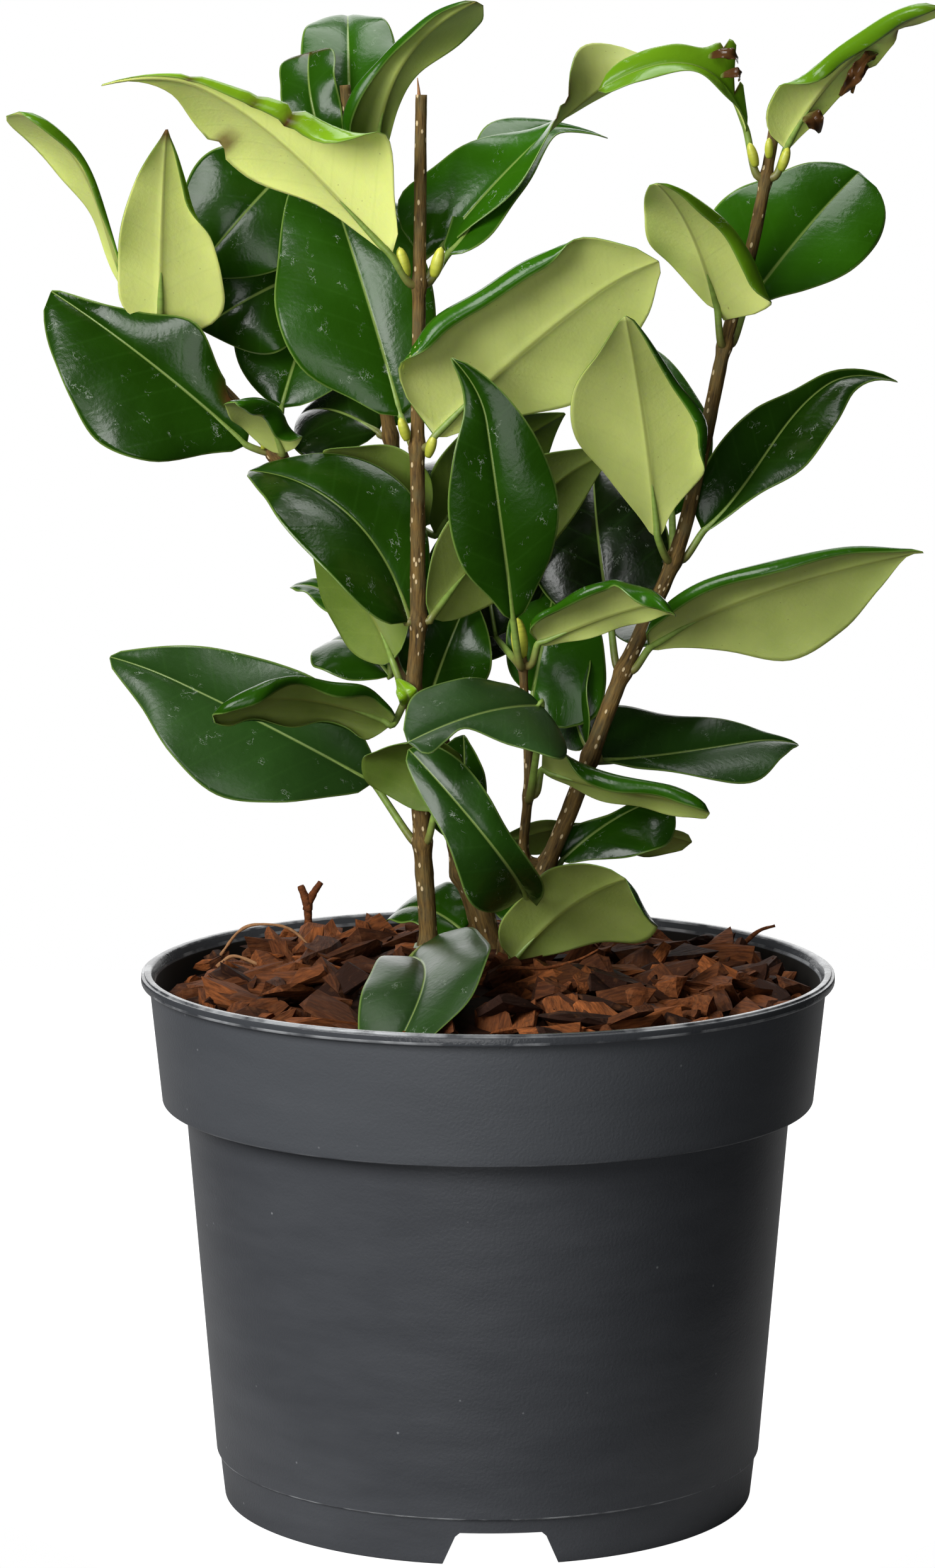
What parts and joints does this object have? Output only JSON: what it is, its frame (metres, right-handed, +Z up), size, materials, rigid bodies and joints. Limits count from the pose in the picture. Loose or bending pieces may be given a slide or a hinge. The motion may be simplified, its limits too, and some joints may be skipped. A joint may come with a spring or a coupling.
{
  "type": "potted japanese privet",
  "caption": "Young Japanese privet with glossy folded leaves on upright cut-back stems, standing in a round grey nursery pot filled with bark mix.",
  "frame": {"origin": "middle of the footprint's bounding box, at the level of the pot's foot", "axes": "+Z up along the pot's axis, the picture's side towards -Y, the longer leaf spread along X"},
  "size_m": [0.2176, 0.17, 0.3655],
  "materials": {
    "pot": "matte moulded plastic, fine grained",
    "mix": "loose bark chips and peat",
    "bark": "fine ridged bark with pale dots",
    "leaf": "glossy dark green above, matte yellow green below"
  },
  "bodies": {
    "root": {"pot": "pot", "potting_mix": "mix", "stem_front": "bark", "stem_right": "bark", "stem_left": "bark", "stem_back": "bark", "leaves_front_1": "leaf", "leaves_front_2": "leaf", "leaves_front_3": "leaf", "leaves_front_4": "leaf", "leaves_front_5": "leaf", "leaves_front_6": "leaf", "leaves_right_1": "leaf", "leaves_right_2": "leaf", "leaves_right_3": "leaf", "leaves_right_4": "leaf", "leaves_right_5": "leaf", "leaves_right_6": "leaf", "leaves_right_7": "leaf", "leaves_left_1": "leaf", "leaves_left_2": "leaf", "leaves_left_3": "leaf", "leaves_left_4": "leaf", "leaves_back_1": "leaf", "leaves_back_2": "leaf", "leaves_back_3": "leaf", "leaves_back_4": "leaf", "leaves_back_5": "leaf", "leaves_back_6": "leaf", "side_shoot": "leaf"}
  },
  "joints": []
}
